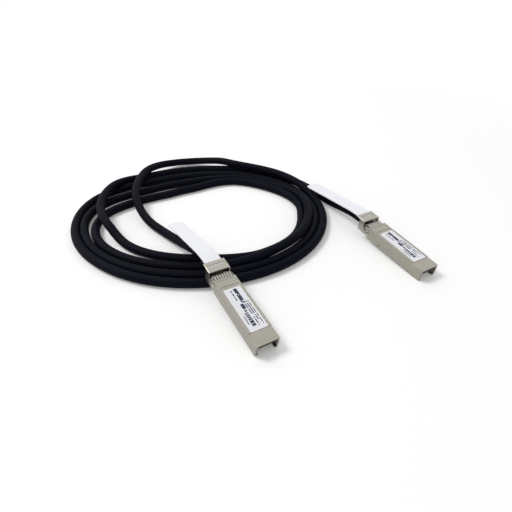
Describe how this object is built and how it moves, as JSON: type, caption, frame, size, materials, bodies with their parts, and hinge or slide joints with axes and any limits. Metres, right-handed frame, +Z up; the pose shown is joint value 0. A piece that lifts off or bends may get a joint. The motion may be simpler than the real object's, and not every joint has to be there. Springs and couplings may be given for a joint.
{
  "type": "direct attach copper cable",
  "caption": "Direct attach copper cable: die-cast network plugs with pull-tab latches at both ends of a black twin axial cable that lies in a loose coil.",
  "frame": {"origin": "middle of plug A's nose, on the ground", "axes": "+X the way plug A goes into its cage, +Y from plug A to plug B, +Z up"},
  "size_m": [0.2356, 0.1879, 0.0186],
  "materials": {
    "casting": "nickel-plated zinc die casting, satin",
    "label": "matt printed label",
    "card": "green solder mask on glass-fibre board",
    "gold": "gold plating",
    "chip": "black moulded package",
    "capacitor": "tan ceramic",
    "foil": "foil wrap",
    "wire": "silver-plated copper",
    "ferrule": "tinned brass",
    "boot": "black moulded rubber",
    "collar": "spring steel, bright",
    "latch": "stainless sheet, satin",
    "tab": "white flexible strap",
    "spring": "spring wire",
    "screw": "dark zinc plate",
    "cable": "black jacket, satin"
  },
  "bodies": {
    "cable_and_plugs": {"base_shell_a": "casting", "cover_a": "casting", "label_a": "label", "paddle_card_a": "card", "contact_pads_a": "gold", "memory_chip_a": "chip", "coupling_capacitors_a": "capacitor", "shielded_pairs_a": "foil", "conductors_a": "wire", "crimp_ferrule_a": "ferrule", "cable_boot_a": "boot", "emi_collar_a": "collar", "return_springs_a": "spring", "cover_screws_a": "screw", "base_shell_b": "casting", "cover_b": "casting", "label_b": "label", "paddle_card_b": "card", "contact_pads_b": "gold", "memory_chip_b": "chip", "coupling_capacitors_b": "capacitor", "shielded_pairs_b": "foil", "conductors_b": "wire", "crimp_ferrule_b": "ferrule", "cable_boot_b": "boot", "emi_collar_b": "collar", "return_springs_b": "spring", "cover_screws_b": "screw", "cable_coil": "cable", "cable_tail_a": "cable", "cable_tail_b": "cable"},
    "latch_a": {"latch_slider_a": "latch", "pull_tab_a": "tab"},
    "latch_b": {"latch_slider_b": "latch", "pull_tab_b": "tab"}
  },
  "joints": [
    {"name": "latch_a_slide", "type": "slide", "parent": "cable_and_plugs", "child": "latch_a", "axis": [-0.9903, 0, 0.1392], "range_m": [0, 0.0022], "stiffness_N_per_m": 1500, "springref_m": -0.002, "deforming": ["return_springs_a"]},
    {"name": "latch_b_slide", "type": "slide", "parent": "cable_and_plugs", "child": "latch_b", "axis": [-0.9958, 0.0278, 0.0872], "range_m": [0, 0.0022], "stiffness_N_per_m": 1500, "springref_m": -0.002, "deforming": ["return_springs_b"]}
  ]
}
